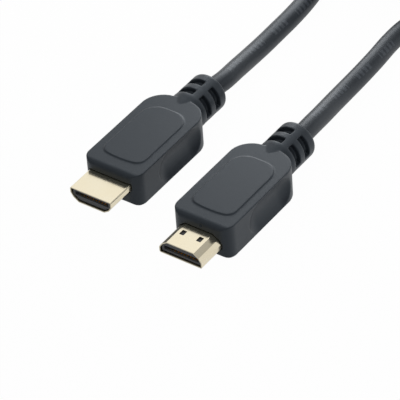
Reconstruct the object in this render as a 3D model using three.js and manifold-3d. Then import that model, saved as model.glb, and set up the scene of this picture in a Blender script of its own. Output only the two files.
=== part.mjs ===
// Digital audio and video cable: two 19-pin plugs side by side on one round cord.
// Millimetres, +Z up, the mouths of the plugs towards -Y and the cord leaving towards +Y.
// The left plug lies wide face up and the right plug lies narrow face up.
// The origin is under the middle of the two plugs, on the surface that they lie on.

import * as THREE from 'three';
import { mergeVertices } from 'three/addons/utils/BufferGeometryUtils.js';
import Module from 'manifold-3d';

const wasm = await Module();
wasm.setup();

// Plug shell
const shellWidth = 13.9;
const shellHeight = 4.45;
const shellNarrowWidth = 9.7;
const shellSideHeight = 2.65;
const shellShoulderWidth = 11.5;
const shellShoulderSlope = 0.5;
const shellWall = 0.3;
const shellLength = 9.0;
const shellSeat = 3.5;
const latchWidth = 1.45;
const latchLength = 1.95;
const latchSpacing = 5.5;
const latchFromGrip = 3.05;

// Insulator and contacts
const fitGap = 0.3;
const insulatorRecess = 0.5;
const slotSideMargin = 1.3;
const slotHeight = 1.3;
const slotDepth = 7.2;
const slotRise = 0.35;
const contactRowMargin = 1.15;
const contactWidth = 0.45;
const contactThickness = 0.2;
const contactLength = 6.2;
const contactSetback = 0.5;
const contactTipThickness = 0.12;
const contactBowStart = 0.5;
const contactBowMiddle = 1.55;
const contactBowEnd = 2.8;
const contactBowHeight = 0.52;
const wideRowContacts = 10;
const narrowRowContacts = 9;

// Grip
const gripWidth = 18.6;
const gripThickness = 10.4;
const gripCornerRadius = 3.6;
const gripEdgeRadius = 1.6;
const shoulderStart = 27.8;
const shoulderRadius = 7.8;
const shoulderEndWidth = 5.4;
const panelSideMargin = 2.5;
const panelFront = 5.0;
const panelRear = 29.4;
const panelFrontBow = 0.9;
const panelFrontCorner = 2.2;
const panelRearCorner = 5.0;
const panelRise = 0.4;
const scoopDepth = 1.3;
const scoopFront = 10.0;
const scoopRear = 30.5;
const scoopLand = 0.25;

// Neck and strain relief
const neckStart = 29.0;
const neckStartRadius = 4.6;
const neckFlareAt = 37.4;
const neckFlareRadius = 5.95;
const bootStart = 38.0;
const bootRadius = 5.75;
const bootEnd = 48.2;
const bootEndRounding = 0.6;
const windowLength = 2.3;
const windowPitch = 4.5;
const windowRows = 2;
const firstWindowAt = 39.45;
const windowFloorRadius = 4.35;
const ribWidth = 2.3;

// Layout of the two plugs
const plugSpacing = 33.7;
const plugStagger = 5.4;

// Cord and coil
const cordDiameter = 5.9;
const cordSides = 12;
const coilDiameter = 63.2;
const coilX = 0;
const coilFromGrips = 158.7;
const turnRowRise = 5.11;
const turnRows = [2, 3, 2];
const tieWidth = 9;
const tieThickness = 0.8;

const cutMargin = 1;
const leafSteps = 4;
const edgeSteps = 6;
const panelCornerSteps = 8;
const planCornerSteps = 10;
const roundSteps = 40;
const ringSteps = 48;
const bundleSteps = 24;
const scoopSteps = 72;
const scoopArcSteps = 14;
const cordStepLength = 1.1;
const mergeTolerance = 1e-5;
const samePlace = 1e-9;

const slotWidth = shellWidth - 2 * slotSideMargin;
const contactPitch = (slotWidth - 2 * contactRowMargin) / (wideRowContacts - 1);
const panelWidth = gripWidth - 2 * panelSideMargin;
const cordRadius = cordDiameter / 2;
const axisHeight = Math.max(neckFlareRadius, bootRadius, gripThickness / 2 + panelRise);
const middleY = (bootEnd - shellLength - plugStagger) / 2;
const leftX = -plugSpacing / 2;
const rightX = plugSpacing / 2;
const leftY = -middleY;
const rightY = leftY - plugStagger;
const coilY = leftY + coilFromGrips;
const coilBase = tieThickness + fitGap;

const blackMoulding = new THREE.MeshStandardMaterial({ color: 0x2b2e33, roughness: 0.5, metalness: 0 });
const goldPlate = new THREE.MeshStandardMaterial({ color: 0xe6cf98, roughness: 0.22, metalness: 1 });
const blackInsulator = new THREE.MeshStandardMaterial({ color: 0x1a1b1e, roughness: 0.6, metalness: 0 });
const contactGold = new THREE.MeshStandardMaterial({ color: 0xd9b45c, roughness: 0.3, metalness: 1 });
const blackJacket = new THREE.MeshStandardMaterial({ color: 0x26282c, roughness: 0.45, metalness: 0 });
const tieStrap = new THREE.MeshStandardMaterial({ color: 0x1c1d20, roughness: 0.85, metalness: 0 });

function solidOf(geometry) {
  const bare = geometry.clone();
  bare.deleteAttribute('normal');
  bare.deleteAttribute('uv');
  const merged = mergeVertices(bare, mergeTolerance);
  const vertProperties = new Float32Array(merged.attributes.position.array);
  const triVerts = new Uint32Array(merged.index.array);
  return new wasm.Manifold(new wasm.Mesh({ numProp: 3, vertProperties, triVerts }));
}

function geometryOf(solid) {
  const mesh = solid.getMesh();
  const geometry = new THREE.BufferGeometry();
  geometry.setAttribute('position', new THREE.BufferAttribute(mesh.vertProperties, mesh.numProp));
  geometry.setIndex(new THREE.BufferAttribute(mesh.triVerts, 1));
  geometry.computeVertexNormals();
  return geometry;
}

function box(sizeX, sizeY, sizeZ, x, y, z) {
  return new THREE.BoxGeometry(sizeX, sizeY, sizeZ).translate(x, y, z);
}

// An outline in X and Z, extruded along Y from one value to another
function alongY(shape, fromY, toY) {
  const geometry = new THREE.ExtrudeGeometry(shape, { depth: toY - fromY, bevelEnabled: false });
  return geometry.rotateX(Math.PI / 2).translate(0, toY, 0);
}

// An outline in X and Y, extruded to both sides of its own plane
function throughZ(shape, depth) {
  const settings = { depth, bevelEnabled: false, curveSegments: edgeSteps };
  return new THREE.ExtrudeGeometry(shape, settings).translate(0, 0, -depth / 2);
}

// A closed profile of radius and Y, turned about the Y axis
function turned(profile, steps) {
  return new THREE.LatheGeometry(profile, steps);
}

// The D-shaped section of the plug, wide face up, moved inwards by an inset
function plugSection(inset) {
  const half = shellWidth / 2 - inset;
  const narrow = shellNarrowWidth / 2 - inset;
  const shoulder = shellShoulderWidth / 2 - inset;
  const top = shellHeight / 2 - inset;
  const bottom = -shellHeight / 2 + inset;
  const sideEnd = shellHeight / 2 - shellSideHeight;
  const shoulderEnd = sideEnd - (shellWidth - shellShoulderWidth) / 2 * shellShoulderSlope;
  return new THREE.Shape([
    new THREE.Vector2(-half, top),
    new THREE.Vector2(-half, sideEnd),
    new THREE.Vector2(-shoulder, shoulderEnd),
    new THREE.Vector2(-narrow, bottom),
    new THREE.Vector2(narrow, bottom),
    new THREE.Vector2(shoulder, shoulderEnd),
    new THREE.Vector2(half, sideEnd),
    new THREE.Vector2(half, top),
  ]);
}

function shellGeometry() {
  const section = plugSection(0);
  section.holes.push(plugSection(shellWall));
  let shell = solidOf(alongY(section, -shellLength, shellSeat));
  for (const side of [-1, 1]) {
    const hole = box(latchWidth, latchLength, shellHeight / 2,
      side * latchSpacing / 2, -latchFromGrip, -shellHeight / 2);
    shell = shell.subtract(solidOf(hole));
  }
  return geometryOf(shell);
}

function insulatorGeometry() {
  const block = solidOf(alongY(plugSection(shellWall + fitGap), insulatorRecess - shellLength, shellSeat));
  const slotMiddle = insulatorRecess - shellLength + slotDepth / 2;
  const slot = box(slotWidth, slotDepth + fitGap, slotHeight, 0, slotMiddle - fitGap / 2, slotRise);
  return geometryOf(block.subtract(solidOf(slot)));
}

// A spring leaf that lies on the slot's wall and bows into the slot near its tip
function contactGeometry() {
  const leaf = new THREE.Shape();
  leaf.moveTo(0, 0);
  leaf.lineTo(contactLength, 0);
  leaf.lineTo(contactLength, contactThickness);
  leaf.lineTo(contactBowEnd, contactThickness);
  leaf.quadraticCurveTo(contactBowMiddle, contactBowHeight, contactBowStart, contactThickness);
  leaf.lineTo(0, contactTipThickness);
  const settings = { depth: contactWidth, bevelEnabled: false, curveSegments: leafSteps };
  const geometry = new THREE.ExtrudeGeometry(leaf, settings).translate(0, 0, -contactWidth / 2);
  return geometry.rotateX(Math.PI / 2).rotateZ(Math.PI / 2);
}

function mirrored(rightHalf) {
  const left = rightHalf.map((point) => new THREE.Vector2(-point.x, point.y)).reverse();
  return new THREE.Shape([...rightHalf, ...left]);
}

function gripPlan() {
  const half = gripWidth / 2;
  const right = new THREE.Path();
  const shoulderX = half - shoulderRadius;
  const endAngle = Math.acos((shoulderEndWidth / 2 - shoulderX) / shoulderRadius);
  right.moveTo(half - gripCornerRadius, 0);
  right.absarc(half - gripCornerRadius, gripCornerRadius, gripCornerRadius, -Math.PI / 2, 0, false);
  right.absarc(shoulderX, shoulderStart, shoulderRadius, 0, endAngle, false);
  return mirrored(right.getPoints(planCornerSteps));
}

function gripSide() {
  const half = gripThickness / 2;
  const profile = new THREE.Shape();
  const rear = shoulderStart + shoulderRadius + fitGap;
  profile.moveTo(rear, -half);
  profile.lineTo(rear, half);
  profile.lineTo(gripEdgeRadius, half);
  profile.absarc(gripEdgeRadius, half - gripEdgeRadius, gripEdgeRadius, Math.PI / 2, Math.PI, false);
  profile.absarc(gripEdgeRadius, gripEdgeRadius - half, gripEdgeRadius, Math.PI, Math.PI * 1.5, false);
  return profile;
}

function panelPlan() {
  const half = panelWidth / 2;
  const right = new THREE.Path();
  right.moveTo(0, panelFront);
  right.quadraticCurveTo((half - panelFrontCorner) / 2, panelFront,
    half - panelFrontCorner, panelFront + panelFrontBow / 2);
  const cornerY = panelFront + panelFrontBow;
  right.quadraticCurveTo(half, cornerY, half, cornerY + panelFrontCorner);
  right.lineTo(half, panelRear - panelRearCorner);
  right.absarc(half - panelRearCorner, panelRear - panelRearCorner, panelRearCorner, 0, Math.PI / 2, false);
  return mirrored(right.getPoints(panelCornerSteps));
}

// The thumb scoop is the cut of a long round-ended cutter that lies beside the grip
function scoopCutter(side) {
  const halfHeight = gripThickness / 2 - scoopLand;
  const radius = (halfHeight ** 2 + scoopDepth ** 2) / (2 * scoopDepth);
  const axisX = gripWidth / 2 - scoopDepth + radius;
  const profile = new THREE.Path();
  const frontCentre = scoopFront + halfHeight;
  const rearCentre = scoopRear - halfHeight;
  profile.absarc(0, frontCentre, radius, -Math.PI / 2, 0, false);
  profile.absarc(0, rearCentre, radius, 0, Math.PI / 2, false);
  const points = profile.getPoints(scoopArcSteps);
  points[0].x = 0;
  points[points.length - 1].x = 0;
  return turned(points, scoopSteps).translate(side * axisX, 0, 0);
}

function bootProfile() {
  const end = bootEnd - bootEndRounding;
  return [
    new THREE.Vector2(0, neckStart),
    new THREE.Vector2(neckStartRadius, neckStart),
    new THREE.Vector2(neckFlareRadius, neckFlareAt),
    new THREE.Vector2(bootRadius, bootStart + windowLength / 2),
    new THREE.Vector2(bootRadius, end),
    new THREE.Vector2(bootRadius - bootEndRounding, bootEnd),
    new THREE.Vector2(0, bootEnd),
  ];
}

// Four windows around the boot, between two ribs across it each way
function windowCutter(row) {
  const start = firstWindowAt - windowLength / 2 + row * windowPitch;
  const outside = neckFlareRadius + cutMargin;
  const ring = solidOf(turned([
    new THREE.Vector2(windowFloorRadius, start),
    new THREE.Vector2(outside, start),
    new THREE.Vector2(outside, start + windowLength),
    new THREE.Vector2(windowFloorRadius, start + windowLength),
    new THREE.Vector2(windowFloorRadius, start),
  ], roundSteps));
  const middle = start + windowLength / 2;
  const across = solidOf(box(3 * outside, 2 * windowLength, ribWidth, 0, middle, 0));
  const upright = solidOf(box(ribWidth, 2 * windowLength, 3 * outside, 0, middle, 0));
  return ring.subtract(across).subtract(upright);
}

function gripGeometry() {
  const plan = throughZ(gripPlan(), gripThickness + 2 * cutMargin);
  const side = throughZ(gripSide(), gripWidth + 2 * cutMargin).rotateX(Math.PI / 2).rotateZ(Math.PI / 2);
  let grip = solidOf(plan).intersect(solidOf(side));
  for (const sideSign of [-1, 1]) {
    grip = grip.subtract(solidOf(scoopCutter(sideSign)));
  }
  grip = grip.add(solidOf(throughZ(panelPlan(), gripThickness + 2 * panelRise)));
  grip = grip.add(solidOf(turned(bootProfile(), roundSteps)));
  for (let row = 0; row < windowRows; row++) {
    grip = grip.subtract(windowCutter(row));
  }
  const pocket = alongY(plugSection(-fitGap), -cutMargin, shellSeat + fitGap);
  return geometryOf(grip.subtract(solidOf(pocket)));
}

// Places of the turns in the section of the coil, as distance from its middle circle and height
function coilTurns() {
  const turns = [];
  turnRows.forEach((count, row) => {
    for (let index = 0; index < count; index++) {
      const offset = (index - (count - 1) / 2) * cordDiameter;
      turns.push(new THREE.Vector2(coilDiameter / 2 + offset, coilBase + cordRadius + row * turnRowRise));
    }
  });
  return turns;
}

// The outline around all the turns, a given distance outside their centres
function bundleOutline(distance) {
  const turns = coilTurns();
  const outline = [];
  for (let step = 0; step <= bundleSteps; step++) {
    const angle = 2 * Math.PI * step / bundleSteps;
    const direction = new THREE.Vector2(Math.cos(angle), Math.sin(angle));
    const furthest = turns.reduce((best, turn) => (
      turn.dot(direction) > best.dot(direction) + samePlace ? turn : best));
    outline.push(furthest.clone().addScaledVector(direction, distance));
  }
  outline[outline.length - 1].copy(outline[0]);
  return outline;
}

function coilRing(distance) {
  const ring = turned(bundleOutline(distance), ringSteps);
  return solidOf(ring.rotateX(Math.PI / 2).translate(coilX, coilY, 0));
}

function tieGeometry() {
  const outer = coilRing(cordRadius + fitGap + tieThickness);
  const inner = coilRing(cordRadius + fitGap);
  const reach = coilDiameter;
  const sector = box(tieWidth, reach, reach, coilX, coilY + reach / 2, 0);
  return geometryOf(outer.subtract(inner).intersect(solidOf(sector)));
}

// The route of the cord from the left plug to the coil
const leftRoute = [
  [-16.85, 31.6, 5.95], [-16.65, 38.0, 5.6], [-16.7, 45.0, 4.7], [-17.0, 52.0, 3.7], [-17.5, 60.0, 3.1],
  [-18.0, 68.0, 3.0], [-18.4, 76.0, 3.0], [-19.2, 85.0, 3.0], [-20.9, 94.0, 3.0], [-23.5, 103.0, 3.0],
  [-26.7, 112.0, 3.1], [-30.0, 121.0, 3.4], [-32.7, 129.5, 3.8], [-34.2, 136.5, 4.05],
];

// The route of the cord from the right plug to the coil
const rightRoute = [
  [16.85, 26.2, 5.95], [16.6, 32.5, 5.6], [16.0, 39.5, 4.7], [15.2, 46.5, 3.7], [14.4, 54.0, 3.1],
  [13.8, 62.0, 3.0], [13.4, 71.0, 3.0], [13.4, 80.0, 3.0], [15.0, 88.0, 3.1], [18.3, 95.5, 3.6],
  [22.8, 103.0, 4.7], [27.6, 110.8, 6.2], [31.9, 119.0, 7.6], [35.2, 127.5, 8.7], [37.0, 135.5, 9.15],
];

function cordGeometry(route) {
  const curve = new THREE.CatmullRomCurve3(route.map((point) => new THREE.Vector3(...point)));
  const steps = Math.round(curve.getLength() / (cordStepLength * cordDiameter));
  const corners = [];
  for (let side = 0; side < cordSides; side++) {
    const angle = 2 * Math.PI * side / cordSides;
    corners.push(new THREE.Vector2(cordRadius * Math.cos(angle), cordRadius * Math.sin(angle)));
  }
  const section = new THREE.Shape(corners);
  const tube = new THREE.ExtrudeGeometry(section, { steps, bevelEnabled: false, extrudePath: curve });
  return geometryOf(solidOf(tube).subtract(coilRing(cordRadius + fitGap)));
}

const cable = new THREE.Group();

function addPiece(parent, name, geometry, material) {
  const piece = new THREE.Mesh(geometry, material);
  piece.name = name;
  parent.add(piece);
  return piece;
}

function addContacts(plug, side) {
  const tip = insulatorRecess - shellLength + contactSetback;
  const rows = [
    { name: 'wide', count: wideRowContacts, wall: slotRise + slotHeight / 2, over: Math.PI },
    { name: 'narrow', count: narrowRowContacts, wall: slotRise - slotHeight / 2, over: 0 },
  ];
  for (const row of rows) {
    for (let index = 0; index < row.count; index++) {
      const name = `${side}_contact_${row.name}_${index + 1}`;
      const contact = addPiece(plug, name, contactGeometry(), contactGold);
      contact.rotation.y = row.over;
      contact.position.set((index - (row.count - 1) / 2) * contactPitch, tip, row.wall);
    }
  }
}

function addPlug(side, x, y, turn) {
  const plug = new THREE.Group();
  plug.position.set(x, y, axisHeight);
  plug.rotation.y = turn;
  addPiece(plug, `${side}_grip`, gripGeometry(), blackMoulding);
  addPiece(plug, `${side}_shell`, shellGeometry(), goldPlate);
  addPiece(plug, `${side}_insulator`, insulatorGeometry(), blackInsulator);
  addContacts(plug, side);
  cable.add(plug);
}

addPlug('left', leftX, leftY, 0);
addPlug('right', rightX, rightY, Math.PI);
addPiece(cable, 'left_cord', cordGeometry(leftRoute), blackJacket);
addPiece(cable, 'right_cord', cordGeometry(rightRoute), blackJacket);
addPiece(cable, 'cord_coil', geometryOf(coilRing(cordRadius)), blackJacket);
addPiece(cable, 'coil_tie', tieGeometry(), tieStrap);

export default cable;
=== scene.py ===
import math

import bmesh
import bpy
from mathutils import Matrix, Vector


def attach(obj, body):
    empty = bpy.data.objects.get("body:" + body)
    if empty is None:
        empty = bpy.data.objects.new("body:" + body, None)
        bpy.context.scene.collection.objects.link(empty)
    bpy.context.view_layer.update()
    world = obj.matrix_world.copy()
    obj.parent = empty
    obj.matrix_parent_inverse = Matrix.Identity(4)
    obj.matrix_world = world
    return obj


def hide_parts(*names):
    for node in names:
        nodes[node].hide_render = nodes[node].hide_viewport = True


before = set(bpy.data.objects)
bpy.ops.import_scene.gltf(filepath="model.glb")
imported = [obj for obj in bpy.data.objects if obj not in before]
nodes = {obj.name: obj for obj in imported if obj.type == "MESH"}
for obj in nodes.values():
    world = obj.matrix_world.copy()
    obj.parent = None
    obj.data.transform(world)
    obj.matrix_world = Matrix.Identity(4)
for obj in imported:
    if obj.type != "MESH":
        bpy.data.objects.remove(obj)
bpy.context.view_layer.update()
bpy.ops.object.select_all(action="DESELECT")
mm = 0.001
near = 0.1  # millimetres within which an edge counts as lying at a place

# ---- helpers for modelling: work goes on in millimetres, and putInPlace brings a piece to metres


def only(piece):
    if bpy.context.mode != "OBJECT":
        bpy.ops.object.mode_set(mode="OBJECT")
    bpy.ops.object.select_all(action="DESELECT")
    piece.select_set(True)
    bpy.context.view_layer.objects.active = piece


def pick(piece, kind, test):  # opens edit mode with the corners, edges or faces that pass the test
    only(piece)
    bpy.ops.object.mode_set(mode="EDIT")
    bpy.ops.mesh.select_mode(type=kind)
    bpy.ops.mesh.select_all(action="DESELECT")
    mesh = bmesh.from_edit_mesh(piece.data)
    for part in {"VERT": mesh.verts, "EDGE": mesh.edges, "FACE": mesh.faces}[kind]:
        if test(part):
            part.select_set(True)
    mesh.select_flush_mode()
    bmesh.update_edit_mesh(piece.data)


def done():
    bpy.ops.object.mode_set(mode="OBJECT")


def named(name):
    piece = bpy.context.active_object
    piece.name = name
    return piece


def block(name, size, middle):
    bpy.ops.mesh.primitive_cube_add(size=1, location=middle, scale=size)
    piece = named(name)
    bpy.ops.object.transform_apply(location=True, rotation=True, scale=True)
    return piece


def middleOf(edge):
    return (edge.verts[0].co + edge.verts[1].co) / 2


def runs(edge, axis):
    way = edge.verts[1].co - edge.verts[0].co
    return abs(way[axis]) > 0.99 * way.length


def roundEdges(piece, radius, steps, test):
    pick(piece, "EDGE", test)
    bpy.ops.mesh.bevel(offset=radius, segments=steps, affect="EDGES", clamp_overlap=False)
    done()


def modify(piece, kind, **settings):
    only(piece)
    step = piece.modifiers.new(kind.title(), kind)
    for key, value in settings.items():
        setattr(step, key, value)
    bpy.ops.object.modifier_apply(modifier=step.name)


def combine(piece, tool, operation):
    modify(piece, "BOOLEAN", operation=operation, object=tool, solver="EXACT")
    bpy.data.objects.remove(tool)


def copied(piece, name):
    only(piece)
    bpy.ops.object.duplicate()
    return named(name)


def putInPlace(piece, where, turn=0.0):
    only(piece)
    piece.scale = (mm, mm, mm)
    piece.rotation_euler = (0, turn, 0)
    piece.location = [value * mm for value in where]
    bpy.ops.object.transform_apply(location=True, rotation=True, scale=True)
    return piece


def dressed(piece, paint):
    piece.data.materials.clear()
    piece.data.materials.append(paint)
    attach(piece, "root")
    return piece


# ---- camera, at the photograph's place

cameraSetup = {
    "aim": (0.00417, -0.00442, 0.0),
    "distance": 0.8265,
    "azimuth": 37.6,
    "elevation": 39.7,
    "roll": -4.3,
    "lens": 270.0,
    "sensor": 36.0,
    "clipStart": 0.05,
}


def makeCamera(setup):
    azimuth, elevation = math.radians(setup["azimuth"]), math.radians(setup["elevation"])
    level = math.cos(elevation)
    back = Vector((math.sin(azimuth) * level, -math.cos(azimuth) * level, math.sin(elevation)))
    data = bpy.data.cameras.new("camera")
    data.lens, data.sensor_width, data.clip_start = setup["lens"], setup["sensor"], setup["clipStart"]
    camera = bpy.data.objects.new("camera", data)
    bpy.context.collection.objects.link(camera)
    roll = Matrix.Rotation(math.radians(setup["roll"]), 3, "Z")
    turn = (-back).to_track_quat("-Z", "Y").to_matrix() @ roll
    camera.matrix_world = Matrix.Translation(Vector(setup["aim"]) + back * setup["distance"]) @ turn.to_4x4()
    bpy.context.scene.camera = camera


makeCamera(cameraSetup)
print("camera made")

# ---- materials


class Wire:  # one output socket, so that shader maths reads as ordinary maths
    def __init__(self, paint, socket):
        self.paint, self.socket = paint, socket

    def maths(self, operation, *values):
        return self.paint.add("Math", {"operation": operation}, dict(enumerate(values)))

    def __add__(self, other):
        return self.maths("ADD", self, other)

    __radd__ = __add__

    def __sub__(self, other):
        return self.maths("SUBTRACT", self, other)

    def __rsub__(self, other):
        return self.maths("SUBTRACT", other, self)

    def __mul__(self, other):
        return self.maths("MULTIPLY", self, other)

    __rmul__ = __mul__

    def __truediv__(self, other):
        return self.maths("DIVIDE", self, other)

    def __gt__(self, other):
        return self.maths("GREATER_THAN", self, other)

    def __lt__(self, other):
        return self.maths("LESS_THAN", self, other)


class Paint:  # a node tree, with one method that adds any node to it
    def __init__(self, owner):
        owner.use_nodes = True
        self.owner, self.tree = owner, owner.node_tree
        self.tree.nodes.clear()

    def add(self, kind, settings=None, sockets=None, output=0):
        node = self.tree.nodes.new("ShaderNode" + kind)
        for key, value in (settings or {}).items():
            setattr(node, key, value)
        for key, value in (sockets or {}).items():
            if isinstance(value, Wire):
                self.tree.links.new(value.socket, node.inputs[key])
            else:
                node.inputs[key].default_value = value
        return Wire(self, node.outputs[output]) if node.outputs else None

    def place(self, output="Object"):
        return self.add("TexCoord", output=output)

    def part(self, vector, axis):
        return self.add("SeparateXYZ", {}, {0: vector}, output=axis)

    def ramp(self, value, span, ends, kind="SMOOTHSTEP"):
        return self.add("MapRange", {"interpolation_type": kind}, {
            "Value": value, "From Min": span[0], "From Max": span[1], "To Min": ends[0], "To Max": ends[1],
        })

    def noise(self, scale, detail=2.0, where=None):
        return self.add("TexNoise", {}, {"Vector": where or self.place(), "Scale": scale, "Detail": detail})

    def mixed(self, mask, low, high):
        return self.add("Mix", {"data_type": "RGBA"}, {0: mask, 6: low, 7: high}, output=2)

    def varied(self, mask, colour, low=0.88, high=1.12):
        return self.mixed(mask, opaque(colour, low), opaque(colour, high))

    def bump(self, height, strength, distance, normal=None):
        sockets = {"Height": height, "Strength": strength, "Distance": distance}
        return self.add("Bump", {}, sockets if normal is None else {**sockets, "Normal": normal})

    def surface(self, **sockets):
        spaced = {key.replace("_", " "): value for key, value in sockets.items()}
        shader = self.add("BsdfPrincipled", {}, spaced)
        self.add("OutputMaterial", {}, {"Surface": shader})
        return self.owner


def opaque(colour, factor=1.0):
    return tuple(value * factor for value in colour) + (1.0,)


gripFinish = {
    "colour": (0.027, 0.033, 0.041),
    "tint": (0.78, 0.89, 1.0),
    "roughness": 0.40,
    "grain": 5200.0,
    "mottle": 700.0,
}
goldFinish = {
    "colour": (0.97, 0.90, 0.72),
    "worn": (0.91, 0.79, 0.53),
    "roughness": 0.17,
    "lines": 3800.0,
    "cloud": 260.0,
}
jacketFinish = {
    "colour": (0.024, 0.029, 0.036),
    "tint": (0.82, 0.91, 1.0),
    "roughness": 0.38,
    "grain": 4200.0,
    "mottle": 900.0,
    "print": (0.17, 0.19, 0.22),
    "printShare": 0.34,
    "lineStart": -0.02,
    "lineTwist": 2.6,
    "lineWidth": 0.10,
    "tick": 0.0019,
    "tickShare": 0.6,
    "group": 0.0125,
    "groupShare": 0.62,
    "firstTick": 0.013,
    "lastTick": 0.058,
}
darkFinish = {"colour": (0.11, 0.11, 0.115), "roughness": 0.5}
leafFinish = {"colour": (0.86, 0.66, 0.30), "worn": (0.78, 0.55, 0.22), "roughness": 0.24}
strapFinish = {"colour": (0.017, 0.018, 0.020), "roughness": 0.85, "weave": 0.0007, "fuzz": 5200.0}


def mouldedPlastic(name, finish):
    paint = Paint(bpy.data.materials.new(name))
    mottle = paint.noise(finish["mottle"], 3.0)
    grain = paint.noise(finish["grain"], 3.0)
    return paint.surface(
        Base_Color=paint.varied(mottle, finish["colour"]),
        Roughness=finish["roughness"] + 0.12 * (mottle - 0.5) + 0.10 * (grain - 0.5),
        Specular_Tint=opaque(finish["tint"]),
        Normal=paint.bump(grain, 0.35, 0.00004, paint.bump(mottle, 0.10, 0.00005)),
    )


def goldPlate(name, finish):
    paint = Paint(bpy.data.materials.new(name))
    where = paint.add("Mapping", {}, {"Vector": paint.place(), "Scale": (1.0, 0.06, 1.0)})
    drawn = paint.noise(finish["lines"], 3.0, where)  # faint lines along the drawn metal
    cloud = paint.noise(finish["cloud"], 2.0)
    colour = paint.mixed(0.45 * cloud + 0.25 * drawn, opaque(finish["colour"]), opaque(finish["worn"]))
    return paint.surface(
        Base_Color=colour,
        Metallic=1.0,
        Roughness=finish["roughness"] + 0.10 * (drawn - 0.5) + 0.06 * (cloud - 0.5),
        Normal=paint.bump(drawn, 0.10, 0.00001),
    )


def cordJacket(name, finish, total):
    paint = Paint(bpy.data.materials.new(name))
    uv = paint.add("TexCoord", output="UV")
    along, around = paint.part(uv, 0), paint.part(uv, 1)
    nearer = along.maths("MINIMUM", along, total - along)  # metres from the nearer plug
    side = 1.0 - 2.0 * (along > total / 2)
    line = side * (around - 0.5) - (finish["lineStart"] + finish["lineTwist"] * nearer)
    inLine = line.maths("ABSOLUTE", line) < finish["lineWidth"] / 2
    beat = nearer / finish["tick"]
    tick = beat.maths("FRACT", beat) < finish["tickShare"]
    group = nearer / finish["group"]
    inGroup = group.maths("FRACT", group) < finish["groupShare"]
    ink = inLine * tick * inGroup * (nearer > finish["firstTick"]) * (nearer < finish["lastTick"])
    mottle = paint.noise(finish["mottle"], 3.0)
    grain = paint.noise(finish["grain"], 2.0)
    printed = finish["printShare"] * ink * (0.5 + 0.5 * mottle)
    return paint.surface(
        Base_Color=paint.mixed(printed, paint.varied(mottle, finish["colour"]), opaque(finish["print"])),
        Roughness=finish["roughness"] + 0.10 * (mottle - 0.5) + 0.08 * (grain - 0.5),
        Specular_Tint=opaque(finish["tint"]),
        Normal=paint.bump(grain, 0.22, 0.00004, paint.bump(mottle, 0.12, 0.00008)),
    )


def strapCloth(name, finish):
    paint = Paint(bpy.data.materials.new(name))
    uv = paint.add("TexCoord", output="UV")
    u, v = (paint.part(uv, axis) * (2 * math.pi / finish["weave"]) for axis in range(2))
    weave = 0.5 + 0.5 * (u.maths("SINE", u) * v.maths("SINE", v))
    fuzz = paint.noise(finish["fuzz"], 4.0)
    return paint.surface(
        Base_Color=paint.varied(0.5 * weave + 0.5 * fuzz, finish["colour"], 0.6, 1.7),
        Roughness=finish["roughness"] - 0.15 * weave,
        Sheen_Weight=0.25,
        Normal=paint.bump(0.6 * weave + 0.4 * fuzz, 0.6, 0.00015),
    )


# ---- the cord, one length from plug to plug, with its spare length coiled

cordSizes = {
    "diameter": 5.9,
    "sides": 28,
    "step": 1.3,
    "leftExit": (-16.85, 31.3, 5.95),
    "leftRoute": [
        (-16.85, 26.0, 5.95), (-16.85, 31.6, 5.95), (-16.41, 38.0, 5.6), (-17.04, 45.0, 4.7),
        (-17.67, 52.0, 3.7), (-18.06, 60.0, 3.1), (-18.29, 68.0, 3.0), (-18.51, 76.0, 3.0),
        (-19.25, 85.0, 3.0), (-20.87, 94.0, 3.0), (-23.48, 103.0, 3.0), (-26.69, 112.0, 3.1),
        (-29.99, 121.0, 3.4), (-32.70, 129.5, 3.8), (-34.20, 136.5, 4.05),
    ],
    "rightRoute": [
        (16.85, 20.6, 5.95), (16.85, 26.2, 5.95), (16.43, 32.5, 5.6), (15.74, 39.5, 4.7),
        (14.86, 46.5, 3.7), (14.31, 54.0, 3.1), (14.09, 62.0, 3.0), (13.72, 71.0, 3.0),
        (13.11, 80.0, 3.0), (13.45, 88.0, 3.1), (15.97, 95.5, 3.5), (20.68, 103.2, 4.5),
        (26.19, 111.0, 6.0), (31.49, 119.0, 7.4), (35.80, 127.5, 8.2), (37.60, 135.5, 8.6),
    ],
}

coilSizes = {
    "middle": (0.0, 141.8),
    "radius": 31.6,
    "turns": 6.5,
    "perTurn": 24,
    "rowRise": 5.11,
    "slots": [(0.5, 0), (-0.5, 0), (-1, 1), (0, 1), (-0.5, 2), (0.5, 2), (1, 1)],  # diameters out, row
    "lift": 1.1,
    "floorGap": 0.05,
    "fixedShare": 0.46,  # the first share of a turn stays in its slot
    "crossFrom": 0.47,  # and the rest crosses to the next one
    "crossOver": 0.5,
    "rounds": 160,
    "lastRounds": 12,
    "ease": 0.35,
}


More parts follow.
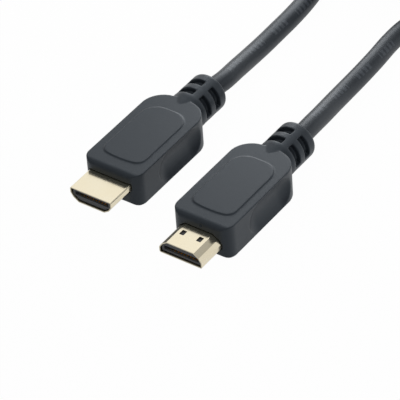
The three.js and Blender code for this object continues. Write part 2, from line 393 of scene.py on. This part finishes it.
def coilSections(sizes, diameter):  # how far out and how high each sample is, once the turns have settled
    perTurn = sizes["perTurn"]
    places = [
        Vector((sizes["radius"] + out * diameter, diameter / 2 + row * sizes["rowRise"]))
        for out, row in sizes["slots"]
    ]
    settled, fixed = [], []
    for sample in range(round(sizes["turns"] * perTurn) + 1):
        turn, part = sample // perTurn, sample % perTurn / perTurn
        share = min(1.0, max(0.0, (part - sizes["crossFrom"]) / sizes["crossOver"]))
        after = places[min(turn + 1, len(places) - 1)]
        settled.append(places[turn].lerp(after, share * share * (3 - 2 * share)))
        fixed.append(part < sizes["fixedShare"])
    for settling in range(sizes["rounds"]):
        for i, here in enumerate(settled):
            for j in range(i + perTurn, len(settled), perTurn):
                apart = here - settled[j]
                push = (diameter - apart.length) / 2
                if push > 0:
                    apart = apart.normalized() * push
                    here = here if fixed[i] else here + apart
                    settled[i], settled[j] = here, settled[j] if fixed[j] else settled[j] - apart
        if settling < sizes["rounds"] - sizes["lastRounds"]:
            middles = [(a + c) / 2 for a, c in zip(settled, settled[2:])]
            for i, middle in enumerate(middles, 1):
                if not fixed[i]:
                    settled[i] = settled[i].lerp(middle, sizes["ease"])
        for i, here in enumerate(settled):
            settled[i] = Vector((here.x, max(here.y, diameter / 2)))
    return settled


def coilPoints(sizes, diameter):
    points = []
    for sample, (radius, height) in enumerate(coilSections(sizes, diameter)):
        angle = 2 * math.pi * sample / sizes["perTurn"]
        nearSide = max(0.0, -math.sin(angle))  # the side towards the plugs lies low, the tie lifts the other
        points.append((
            sizes["middle"][0] - radius * math.cos(angle),
            sizes["middle"][1] + radius * math.sin(angle),
            height + sizes["lift"] - (sizes["lift"] - sizes["floorGap"]) * nearSide,
        ))
    return points


def through(a, b, c, d, t):  # a point between b and c on the smooth curve through all four
    return 0.5 * (2 * b + (c - a) * t + (2 * a - 5 * b + 4 * c - d) * t**2 + (3 * b - a - 3 * c + d) * t**3)


def smoothLine(points, step):
    points = [Vector(point) for point in points]
    line = []
    for i in range(len(points) - 1):
        a, b, c, d = points[max(0, i - 1)], points[i], points[i + 1], points[min(len(points) - 1, i + 2)]
        parts = max(1, round((c - b).length / step))
        line += [through(a, b, c, d, part / parts) for part in range(parts)]
    return [*line, points[-1]]


def skinned(name, sections, lengths, around):  # a closed skin, with its length and girth as UV
    mesh = bmesh.new()
    uvLayer = mesh.loops.layers.uv.new("UVMap")
    rings = [[mesh.verts.new(corner) for corner in section] for section in sections]
    count = len(rings[0])
    for i in range(len(rings) - 1):
        for k in range(count):
            after = (k + 1) % count
            face = mesh.faces.new((rings[i][k], rings[i][after], rings[i + 1][after], rings[i + 1][k]))
            face.smooth = True
            for loop, (ring, corner) in zip(face.loops, ((i, k), (i, k + 1), (i + 1, k + 1), (i + 1, k))):
                loop[uvLayer].uv = (lengths[ring] * mm, around[corner])
    mesh.faces.new(rings[0])
    mesh.faces.new(rings[-1][::-1])
    bmesh.ops.recalc_face_normals(mesh, faces=mesh.faces)
    data = bpy.data.meshes.new(name)
    mesh.to_mesh(data)
    mesh.free()
    piece = bpy.data.objects.new(name, data)
    bpy.context.collection.objects.link(piece)
    return putInPlace(piece, (0, 0, 0))


def lengthsAlong(line):
    lengths = [0.0]
    for a, b in zip(line, line[1:]):
        lengths.append(lengths[-1] + (b - a).length)
    return lengths


def makeCord(sizes, wound):
    route = sizes["leftRoute"] + wound + sizes["rightRoute"][::-1]
    line = smoothLine(route, sizes["step"])
    radius, sides = sizes["diameter"] / 2, sizes["sides"]
    sections = []
    for i, point in enumerate(line):
        ahead = (line[min(i + 1, len(line) - 1)] - line[max(i - 1, 0)]).normalized()
        side = ahead.cross(Vector((0, 0, 1))).normalized()
        up = side.cross(ahead)
        sections.append([
            point + radius * (side * math.sin(angle) + up * math.cos(angle))
            for angle in (2 * math.pi * (k / sides - 0.5) for k in range(sides))
        ])
    lengths = lengthsAlong(line)
    piece = skinned("cord", sections, lengths, [k / sides for k in range(sides + 1)])
    return piece, [point * mm for point in line], lengths[-1] * mm


coilLine = coilPoints(coilSizes, cordSizes["diameter"])
cord, cordLine, cordLength = makeCord(cordSizes, coilLine)
dressed(cord, cordJacket("cordJacket", jacketFinish, cordLength))
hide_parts("left_cord", "right_cord", "cord_coil")
print(f"cord made, {cordLength:.3f} m")

# ---- the tie round the coil, a strap that closes on itself

tieSizes = {
    "width": 9.0,
    "thickness": 0.8,
    "clear": 0.12,
    "start": 60.0,
    "turn": 455.0,
    "lap": 0.85,
    "lapFrom": 335.0,
    "lapOver": 25.0,
    "steps": 90,
    "pathStep": 0.9,
    "bevel": 0.3,
}


def tiePath(sizes, wound, perTurn, diameter):
    turns = [Vector(point[1:]) for point in wound[perTurn // 4::perTurn]]  # the cord where it passes the tie
    rounding = diameter / 2 + sizes["clear"] + sizes["thickness"] / 2
    path = []
    for step in range(sizes["steps"] + 1):
        turned = sizes["turn"] * step / sizes["steps"]
        angle = math.radians(sizes["start"] + turned)
        way = Vector((math.cos(angle), math.sin(angle)))
        lap = sizes["lap"] * min(1.0, max(0.0, (turned - sizes["lapFrom"]) / sizes["lapOver"]))
        furthest = max(turns, key=lambda turn: turn.dot(way))
        path.append(furthest + way * (rounding + lap))
    dense = [path[0]]
    for point in path[1:]:
        gap = point - dense[-1]
        parts = max(1, round(gap.length / sizes["pathStep"]))
        dense += [dense[-1] + gap * (part / parts) for part in range(1, parts + 1)]
    return dense


def makeTie(sizes, middle, path):
    half, edge, bevel = sizes["thickness"] / 2, sizes["width"] / 2, sizes["bevel"]
    section = [(-edge, -half * 0.5), (-edge + bevel, -half), (edge - bevel, -half), (edge, -half * 0.5),
               (edge, half * 0.5), (edge - bevel, half), (-edge + bevel, half), (-edge, half * 0.5)]
    sections = []
    for i, point in enumerate(path):
        way = (path[min(i + 1, len(path) - 1)] - path[max(i - 1, 0)]).normalized()
        out = Vector((way.y, -way.x))
        sections.append([
            (middle + across, point.x + out.x * depth, point.y + out.y * depth) for across, depth in section
        ])
    around = [across * mm for across, depth in [*section, section[0]]]
    return skinned("tie", sections, lengthsAlong(path), around)


strapPath = tiePath(tieSizes, coilLine, coilSizes["perTurn"], cordSizes["diameter"])
tie = makeTie(tieSizes, coilSizes["middle"][0], strapPath)
dressed(tie, strapCloth("strapCloth", strapFinish))
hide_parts("coil_tie")
print("tie made")

# ---- grips

plugPlaces = {
    "left": {"where": (-16.85, -16.9, 5.95), "turn": 0.0},
    "right": {"where": (16.85, -22.3, 5.95), "turn": math.pi},
}

gripSizes = {
    "width": 19.0,
    "length": 35.7,
    "thickness": 10.6,
    "frontCorner": 3.6,
    "frontRounding": 1.6,
    "shoulder": 6.9,
    "scoopDepth": 1.8,
    "scoopFront": 10.0,
    "scoopRear": 30.5,
    "scoopLand": 0.25,
    "panel": {
        "half": 6.8,
        "front": 5.0,
        "rear": 29.4,
        "bow": 0.9,
        "frontCorner": 2.2,
        "rearCorner": 5.0,
        "rise": 0.3,
    },
    "rings": [  # distance from the front and radius
        (29.0, 4.6), (33.0, 5.24), (37.0, 5.88), (37.5, 5.93), (38.2, 5.91), (39.4, 5.88), (47.4, 5.88),
        (47.8, 5.78), (48.1, 5.56), (48.27, 5.3), (48.32, 4.9),
    ],
    "window": {"rows": (38.3, 42.8), "length": 2.3, "floor": 4.35, "outside": 7.2, "arc": 67.0},
    "pocket": {"gap": 0.12, "front": -2.0, "rear": 3.8},
    "pit": {"place": (-0.7, 0.0, -3.72), "radius": 0.42, "depth": 0.5},
    "spare": 8.0,
    "voxel": 0.2,
}

shellSizes = {
    "width": 13.9,
    "height": 4.45,
    "sideEnd": -0.425,
    "shoulder": (6.05, -1.05),
    "narrow": (5.3, -2.225),
    "front": -9.0,
    "rear": 3.5,
    "wall": 0.3,
    "topRounding": 0.5,
    "lowRounding": 0.22,
    "latch": {"width": 1.45, "length": 1.95, "height": 2.0, "spacing": 5.5, "from": 3.45, "rounding": 0.15},
}


def shapedLikeMouth(name, grow, front, rear):  # a block with four slanted faces cut on it, D-shaped
    sizes = shellSizes
    width, height = sizes["width"] + 2 * grow, sizes["height"] + 2 * grow
    piece = block(name, (width, rear - front, height), (0, (front + rear) / 2, 0))
    corners = [(sizes["width"] / 2, sizes["sideEnd"]), sizes["shoulder"], sizes["narrow"]]
    for side in (-1, 1):
        for (xa, za), (xb, zb) in zip(corners, corners[1:]):
            out = Vector((side * (za - zb), 0, -(xa - xb))).normalized()
            pick(piece, "FACE", lambda face: True)
            bpy.ops.mesh.bisect(
                plane_co=Vector((side * xa, 0, za)) + out * grow, plane_no=out,
                use_fill=True, clear_outer=True, threshold=1e-5,
            )
            done()
    return piece


def thumbScoop(sizes):  # a long round-ended cutter, made from half of a ball and mirrored
    halfHeight = sizes["thickness"] / 2 - sizes["scoopLand"]
    radius = (halfHeight**2 + sizes["scoopDepth"] ** 2) / (2 * sizes["scoopDepth"])
    reach = (sizes["scoopRear"] - sizes["scoopFront"]) / 2 - halfHeight
    bpy.ops.mesh.primitive_uv_sphere_add(
        segments=96, ring_count=48, radius=radius, location=(0, -reach, 0), rotation=(math.pi / 2, 0, 0)
    )
    piece = named("scoop")
    bpy.ops.object.transform_apply(location=True, rotation=True, scale=True)
    pick(piece, "FACE", lambda face: True)
    bpy.ops.mesh.bisect(plane_co=(0, -reach, 0), plane_no=(0, 1, 0), clear_outer=True, threshold=1e-5)
    done()
    pick(piece, "EDGE", lambda edge: edge.is_boundary)
    bpy.ops.mesh.extrude_region_move(TRANSFORM_OT_translate={"value": (0, reach, 0)})
    done()
    modify(piece, "MIRROR", use_axis=(False, True, False), merge_threshold=1e-4)
    pick(piece, "FACE", lambda face: True)
    bpy.ops.mesh.normals_make_consistent(inside=False)
    done()
    outwards = sizes["width"] / 2 - sizes["scoopDepth"] + radius
    return piece, Vector((outwards, (sizes["scoopFront"] + sizes["scoopRear"]) / 2, 0))


def raisedPanel(sizes, thickness):
    front, rear, half = sizes["front"], sizes["rear"], sizes["half"]
    height = thickness + 2 * sizes["rise"]
    piece = block("panel", (2 * half, rear - front, height), (0, (front + rear) / 2, 0))
    roundEdges(piece, sizes["rearCorner"], 16, lambda e: runs(e, 2) and middleOf(e).y > rear - near)
    roundEdges(piece, sizes["frontCorner"], 12, lambda e: runs(e, 2) and middleOf(e).y < front + near)
    pick(piece, "EDGE", lambda e: runs(e, 0) and middleOf(e).y < front + near)
    bpy.ops.mesh.subdivide(number_cuts=11)
    done()
    for vertex in piece.data.vertices:  # bows the front edge
        if vertex.co.y < front + sizes["frontCorner"] + near:
            vertex.co.y += sizes["bow"] * (vertex.co.x / half) ** 2
    return piece


def strainRelief(rings):
    (start, radius), rest = rings[0], rings[1:]
    bpy.ops.mesh.primitive_circle_add(
        vertices=96, radius=radius, fill_type="NGON", location=(0, start, 0), rotation=(math.pi / 2, 0, 0)
    )
    piece = named("strainRelief")
    bpy.ops.object.transform_apply(location=True, rotation=True, scale=True)
    pick(piece, "FACE", lambda face: True)
    last, size = start, radius
    for at, wide in rest:
        bpy.ops.mesh.extrude_region_move(TRANSFORM_OT_translate={"value": (0, at - last, 0)})
        bpy.ops.transform.resize(value=(wide / size, 1, wide / size), center_override=(0, at, 0))
        last, size = at, wide
    bpy.ops.mesh.select_all(action="SELECT")
    bpy.ops.mesh.normals_make_consistent(inside=False)
    done()
    return piece


def reliefWindows(window):  # each is spun from a flat face and turned to its place
    cutters = []
    for row in window["rows"]:
        for quarter in range(4):
            depth = window["outside"] - window["floor"]
            bpy.ops.mesh.primitive_plane_add(
                size=1, location=((window["outside"] + window["floor"]) / 2, row + window["length"] / 2, 0)
            )
            cutter = named("window")
            cutter.scale = (depth, window["length"], 1)
            bpy.ops.object.transform_apply(location=True, rotation=True, scale=True)
            pick(cutter, "FACE", lambda face: True)
            bpy.ops.mesh.spin(steps=18, angle=math.radians(window["arc"]), center=(0, 0, 0), axis=(0, 1, 0))
            bpy.ops.mesh.select_all(action="SELECT")
            bpy.ops.mesh.remove_doubles(threshold=1e-4)
            bpy.ops.mesh.normals_make_consistent(inside=False)
            done()
            lead = math.radians(quarter * 90.0 + 45.0 - window["arc"] / 2)
            cutter.data.transform(Matrix.Rotation(lead, 4, "Y"))
            cutters.append(cutter)
    only(cutters[0])
    for cutter in cutters[1:]:
        cutter.select_set(True)
    bpy.ops.object.join()
    return bpy.context.active_object


def makeGrip(sizes):  # one moulding, remeshed at the end so that its parts flow into each other
    width, length, thickness = sizes["width"], sizes["length"], sizes["thickness"]
    grip = block("grip", (width, length, thickness), (0, length / 2, 0))
    roundEdges(grip, sizes["shoulder"], 28, lambda e: runs(e, 2) and middleOf(e).y > length - near)
    roundEdges(grip, sizes["frontCorner"], 16, lambda e: runs(e, 2) and middleOf(e).y < near)
    spare, pocket, pit = sizes["spare"], sizes["pocket"], sizes["pit"]
    envelope = block("envelope", (width + spare, length + spare, thickness), (0, (length + spare) / 2, 0))
    roundEdges(envelope, sizes["frontRounding"], 10, lambda e: runs(e, 0) and middleOf(e).y < near)
    combine(grip, envelope, "INTERSECT")
    scoop, place = thumbScoop(sizes)
    for side in (-1, 1):
        cutter = copied(scoop, "cutter")
        cutter.location = (side * place.x, place.y, place.z)
        combine(grip, cutter, "DIFFERENCE")
    bpy.data.objects.remove(scoop)
    combine(grip, raisedPanel(sizes["panel"], thickness), "UNION")
    combine(grip, strainRelief(sizes["rings"]), "UNION")
    combine(grip, reliefWindows(sizes["window"]), "DIFFERENCE")
    combine(grip, shapedLikeMouth("pocket", pocket["gap"], pocket["front"], pocket["rear"]), "DIFFERENCE")
    bpy.ops.mesh.primitive_cylinder_add(
        vertices=24, radius=pit["radius"], depth=2 * pit["depth"],
        location=pit["place"], rotation=(math.pi / 2, 0, 0),
    )
    combine(grip, named("pit"), "DIFFERENCE")
    modify(grip, "REMESH", mode="VOXEL", voxel_size=sizes["voxel"], use_smooth_shade=True)
    modify(grip, "SMOOTH", factor=0.5, iterations=3)
    return grip


def makeShell(sizes):
    front, rear = sizes["front"], sizes["rear"]
    shell = shapedLikeMouth("shell", 0.0, front, rear)
    pick(shell, "FACE", lambda face: abs(face.normal.y) > 0.9)
    bpy.ops.mesh.delete(type="FACE")
    done()
    top, low = sizes["height"] / 2 - near, sizes["sideEnd"] + near
    roundEdges(shell, sizes["topRounding"], 5, lambda e: runs(e, 1) and middleOf(e).z > top)
    roundEdges(shell, sizes["lowRounding"], 3, lambda e: runs(e, 1) and middleOf(e).z < low)
    modify(shell, "SOLIDIFY", thickness=sizes["wall"], offset=-1.0, use_even_offset=True)
    latch = sizes["latch"]
    for side in (-1, 1):
        hole = block(
            "hole", (latch["width"], latch["length"], latch["height"]),
            (side * latch["spacing"] / 2, -latch["from"], -sizes["height"] / 2),
        )
        roundEdges(hole, latch["rounding"], 3, lambda e: runs(e, 2))
        combine(shell, hole, "DIFFERENCE")
    only(shell)
    bpy.ops.object.shade_smooth_by_angle(angle=math.radians(32))
    modify(shell, "WEIGHTED_NORMAL", keep_sharp=True)
    return shell


plastic = mouldedPlastic("mouldedPlastic", gripFinish)
gold = goldPlate("goldPlate", goldFinish)
darkPlastic = mouldedPlastic("darkPlastic", {**gripFinish, **darkFinish})
leafGold = goldPlate("leafGold", {**goldFinish, **leafFinish})

gripModel = makeGrip(gripSizes)
print(f"grip modelled, {len(gripModel.data.polygons)} faces")
shellModel = makeShell(shellSizes)
print("shell modelled")

for side, plug in plugPlaces.items():
    for model, name, paint in ((gripModel, "grip", plastic), (shellModel, "shell", gold)):
        piece = putInPlace(copied(model, side + name.title()), plug["where"], plug["turn"])
        dressed(piece, paint)
        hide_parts(f"{side}_{name}")
    for name, node in nodes.items():
        if name == f"{side}_insulator":
            node.data.materials.clear()
            node.data.materials.append(darkPlastic)
        elif name.startswith(f"{side}_contact"):
            node.data.materials.clear()
            node.data.materials.append(leafGold)
for model in (gripModel, shellModel):
    bpy.data.objects.remove(model)
print("plugs placed")

# ---- floor, sky and lights

stageSetup = {
    "floorSize": 6.0,
    "floorColour": (0.36, 0.36, 0.36),
    "floorWhite": 0.95,
    "floorGlow": {"span": (0.5, -0.6), "ends": (0.28, 0.60)},  # by the way the light leaves it, front to back
    "sky": {"span": (0.05, 0.8), "ends": (0.16, 0.45)},  # by height
    "wall": {  # pale, and low at the back
        "turn": 0.2,
        "span": (0.1, 0.6),
        "ends": (0.0, 0.75),
        "top": (0.25, 0.55),
    },
    "lights": {
        "softbox": {"way": (-0.22, 0.60, 0.77), "distance": 0.85, "size": 0.95, "power": 1.4},
        "backLight": {"way": (-0.065, 0.17, 0.08), "distance": 0.21, "size": 0.10, "power": 0.085},
    },
}


def makeStage(setup):
    bpy.ops.mesh.primitive_plane_add(size=setup["floorSize"])
    floor = named("floor")
    paint = Paint(bpy.data.materials.new("paleFloor"))
    seen = paint.add("LightPath", output="Is Camera Ray")
    diffuse = paint.add("BsdfDiffuse", {}, {"Color": opaque(setup["floorColour"])})
    fromWay = paint.part(paint.add("NewGeometry", output="Incoming"), 1)
    strength = paint.ramp(fromWay, **setup["floorGlow"], kind="LINEAR")
    glow = paint.add("Emission", {}, {"Color": (1, 1, 1, 1), "Strength": strength})
    white = paint.add("Emission", {}, {"Color": (1, 1, 1, 1), "Strength": 1.0})
    lit = paint.add("AddShader", {}, {0: diffuse, 1: glow})
    surface = paint.add("MixShader", {}, {0: setup["floorWhite"] * seen, 1: lit, 2: white})
    paint.add("OutputMaterial", {}, {"Surface": surface})
    floor.data.materials.append(paint.owner)

    sky = bpy.data.worlds.new("sky")
    bpy.context.scene.world = sky
    paint = Paint(sky)
    wall = setup["wall"]
    x, y, height = (paint.part(paint.place("Generated"), axis) for axis in range(3))
    openSky = paint.ramp(height, **setup["sky"])
    toBack = paint.ramp(y - wall["turn"] * x, wall["span"], wall["ends"])
    low = paint.ramp(height, wall["top"], (1.0, 0.0))
    seen = paint.add("LightPath", output="Is Camera Ray")
    strength = (openSky + toBack * low) * (1.0 - seen) + seen
    background = paint.add("Background", {}, {"Color": (1, 1, 1, 1), "Strength": strength})
    paint.add("OutputWorld", {}, {"Surface": background})

    for name, box in setup["lights"].items():
        data = bpy.data.lights.new(name, "AREA")
        data.shape, data.size, data.energy = "SQUARE", box["size"], box["power"]
        light = bpy.data.objects.new(name, data)
        bpy.context.collection.objects.link(light)
        way = Vector(box["way"]).normalized()
        turn = way.to_track_quat("Z", "Y").to_matrix().to_4x4()
        light.matrix_world = Matrix.Translation(way * box["distance"]) @ turn
        light.visible_camera = False


makeStage(stageSetup)
bpy.context.scene.view_settings.view_transform = "Standard"
bpy.context.scene.view_settings.look = "None"
print("stage made")
